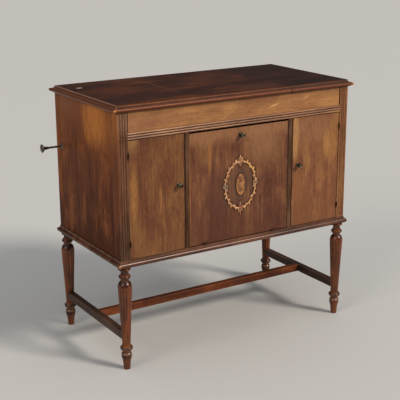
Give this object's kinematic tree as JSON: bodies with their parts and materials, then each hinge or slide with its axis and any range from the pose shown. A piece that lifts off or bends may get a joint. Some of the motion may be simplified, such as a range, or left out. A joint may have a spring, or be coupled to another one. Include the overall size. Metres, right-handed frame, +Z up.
{
  "type": "gramophone cabinet",
  "caption": "Console cabinet on turned and fluted legs with stretchers; a lid over the turntable, side cupboards, a drop flap over the horn, a carved wreath and a winding shaft.",
  "frame": {"origin": "on the floor, midway between the four legs", "axes": "+X to the right seen from the front, +Y to the back, +Z up; the doors face -Y"},
  "size_m": [0.982, 0.483, 0.86],
  "materials": {
    "case_walnut": "old shellac, mahogany-brown walnut",
    "top_walnut": "dark red-brown, worn shellac",
    "leg_walnut": "turned, dark varnish",
    "inner_wood": "plain stained wood",
    "horn_wood": "thin bent wood",
    "carving": "carved, gilt-brown",
    "ebonised": "turned and blackened",
    "grille_cloth": "woven cloth",
    "felt": "pressed felt",
    "nickel": "nickel plate, dulled",
    "steel": "plain steel",
    "brass": "aged brass",
    "motor_iron": "dark enamel"
  },
  "bodies": {
    "cabinet": {"base_board": "case_walnut", "leg_front_left": "leg_walnut", "leg_front_right": "leg_walnut", "leg_back_left": "leg_walnut", "leg_back_right": "leg_walnut", "side_stretcher_left": "leg_walnut", "side_stretcher_right": "leg_walnut", "centre_stretcher": "leg_walnut", "front_post_left": "case_walnut", "front_post_right": "case_walnut", "back_post_left": "case_walnut", "back_post_right": "case_walnut", "side_panel_left": "case_walnut", "side_panel_right": "case_walnut", "back_panel": "inner_wood", "frieze_rail": "case_walnut", "bead_rail": "case_walnut", "well_front_board": "inner_wood", "stile_left": "case_walnut", "stile_right": "case_walnut", "partition_left": "inner_wood", "partition_right": "inner_wood", "motor_board": "inner_wood", "lid_partition": "inner_wood", "fixed_top": "top_walnut", "grille_fret": "case_walnut", "grille_cloth": "grille_cloth", "horn": "horn_wood", "horn_throat": "motor_iron", "motor_case": "motor_iron", "spring_barrels": "steel", "winder_escutcheon": "nickel", "tonearm_base": "nickel", "needle_cups": "nickel", "hinge_fixed_leaves": "brass"},
    "lid": {"lid": "top_walnut", "lid_hinge_leaves": "brass", "lid_stay_stud": "brass"},
    "lid_stay": {"lid_stay": "brass"},
    "left_door": {"left_door": "case_walnut", "left_door_hinge_leaves": "brass", "left_door_knob": "ebonised"},
    "right_door": {"right_door": "case_walnut", "right_door_hinge_leaves": "brass", "right_door_knob": "ebonised"},
    "flap": {"flap": "case_walnut", "flap_hinge_leaves": "brass", "flap_knob": "ebonised", "flap_ornament": "carving"},
    "winder": {"winding_shaft": "steel", "winding_knob": "nickel"},
    "barrel_gear": {"barrel_gear": "brass"},
    "turntable": {"platter": "nickel", "platter_felt": "felt", "record_pin": "nickel"},
    "tonearm": {"tonearm": "nickel"},
    "sound_box": {"sound_box": "nickel", "needle": "steel"},
    "brake_lever": {"brake_lever": "nickel"},
    "speed_lever": {"speed_lever": "nickel"}
  },
  "joints": [
    {"name": "lid_hinge", "type": "hinge", "parent": "cabinet", "child": "lid", "pos_m": [-0.132, 0.2284, 0.8361], "axis": [-1, 0, 0], "range_deg": [0, 95]},
    {"name": "lid_stay_swing", "type": "hinge", "parent": "cabinet", "child": "lid_stay", "pos_m": [-0.4205, 0.15, 0.812], "axis": [-1, 0, 0], "range_deg": [0, 105.6]},
    {"name": "left_door_hinge", "type": "hinge", "parent": "cabinet", "child": "left_door", "pos_m": [-0.41125, -0.2274, 0.5625], "axis": [0, 0, -1], "range_deg": [0, 110]},
    {"name": "right_door_hinge", "type": "hinge", "parent": "cabinet", "child": "right_door", "pos_m": [0.41125, -0.2274, 0.5625], "axis": [0, 0, 1], "range_deg": [0, 110]},
    {"name": "flap_hinge", "type": "hinge", "parent": "cabinet", "child": "flap", "pos_m": [0, -0.2274, 0.3735], "axis": [1, 0, 0], "range_deg": [0, 90]},
    {"name": "winder_spin", "type": "hinge", "parent": "cabinet", "child": "winder", "pos_m": [-0.45, 0.185, 0.66], "axis": [-1, 0, 0], "continuous": true},
    {"name": "barrel_gear_spin", "type": "hinge", "parent": "cabinet", "child": "barrel_gear", "pos_m": [-0.187, 0.15, 0.66], "axis": [-1, 0, 0], "continuous": true},
    {"name": "turntable_spin", "type": "hinge", "parent": "cabinet", "child": "turntable", "pos_m": [-0.11, 0.04, 0.727], "axis": [0, 0, -1], "continuous": true},
    {"name": "tonearm_swing", "type": "hinge", "parent": "cabinet", "child": "tonearm", "pos_m": [0.105, 0.12, 0.74], "axis": [0, 0, -1], "range_deg": [-5, 58]},
    {"name": "sound_box_tilt", "type": "hinge", "parent": "tonearm", "child": "sound_box", "pos_m": [0.1216, -0.065, 0.7735], "axis": [-1, 0, 0], "range_deg": [0, 95]},
    {"name": "speed_swing", "type": "hinge", "parent": "cabinet", "child": "speed_lever", "pos_m": [0.02, -0.15, 0.718], "axis": [0, 0, 1], "range_deg": [-35, 35]},
    {"name": "brake_swing", "type": "hinge", "parent": "cabinet", "child": "brake_lever", "pos_m": [0.07473, -0.05988, 0.722], "axis": [0, 0, 1], "range_deg": [0, 25]}
  ],
  "couplings": [
    {"joint": "lid_stay_swing", "follows": "lid_hinge", "ratio": 1.1116},
    {"joint": "barrel_gear_spin", "follows": "winder_spin", "ratio": -0.33333}
  ]
}
